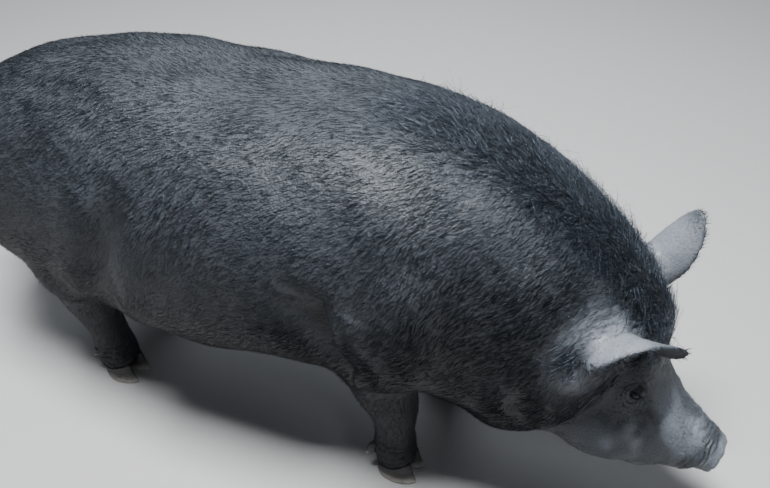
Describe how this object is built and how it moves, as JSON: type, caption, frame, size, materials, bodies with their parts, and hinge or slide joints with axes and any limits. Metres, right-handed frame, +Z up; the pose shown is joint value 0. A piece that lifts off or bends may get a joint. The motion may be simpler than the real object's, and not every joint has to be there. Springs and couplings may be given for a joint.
{
  "type": "domestic pig, black, still life-size model",
  "caption": "Very fat black bristly pig standing with its head low, one ear hanging over its eye and the other half pricked, as a still life-size model.",
  "frame": {"origin": "on the floor under the middle of the pig's bounding box", "axes": "+X towards the snout, +Y to the pig's left, +Z up"},
  "size_m": [1.3782, 0.489, 0.6093],
  "materials": {
    "hide": "black skin under coarse black bristles with a grey-blue sheen, lying back along the body",
    "ear_skin": "smooth slate-grey skin with sparse fine hair, darker at the rims",
    "snout_skin": "bare grey wrinkled skin, paler round the rim",
    "horn": "dull horn, pale at the toes and dark towards the coronet, with growth lines",
    "eye": "wet dark brown eye"
  },
  "bodies": {
    "root": {"trunk": "hide", "neck": "hide", "head": "hide", "tail": "hide", "snout": "snout_skin", "ear_right": "ear_skin", "ear_left": "ear_skin", "eye_right": "eye", "eye_left": "eye", "fore_leg_right": "hide", "fore_leg_left": "hide", "hind_leg_right": "hide", "hind_leg_left": "hide", "claw_fore_right_outer": "horn", "claw_fore_right_inner": "horn", "claw_fore_left_outer": "horn", "claw_fore_left_inner": "horn", "claw_hind_right_outer": "horn", "claw_hind_right_inner": "horn", "claw_hind_left_outer": "horn", "claw_hind_left_inner": "horn", "dewclaw_fore_right_outer": "horn", "dewclaw_fore_right_inner": "horn", "dewclaw_fore_left_outer": "horn", "dewclaw_fore_left_inner": "horn", "dewclaw_hind_right_outer": "horn", "dewclaw_hind_right_inner": "horn", "dewclaw_hind_left_outer": "horn", "dewclaw_hind_left_inner": "horn"}
  },
  "joints": []
}
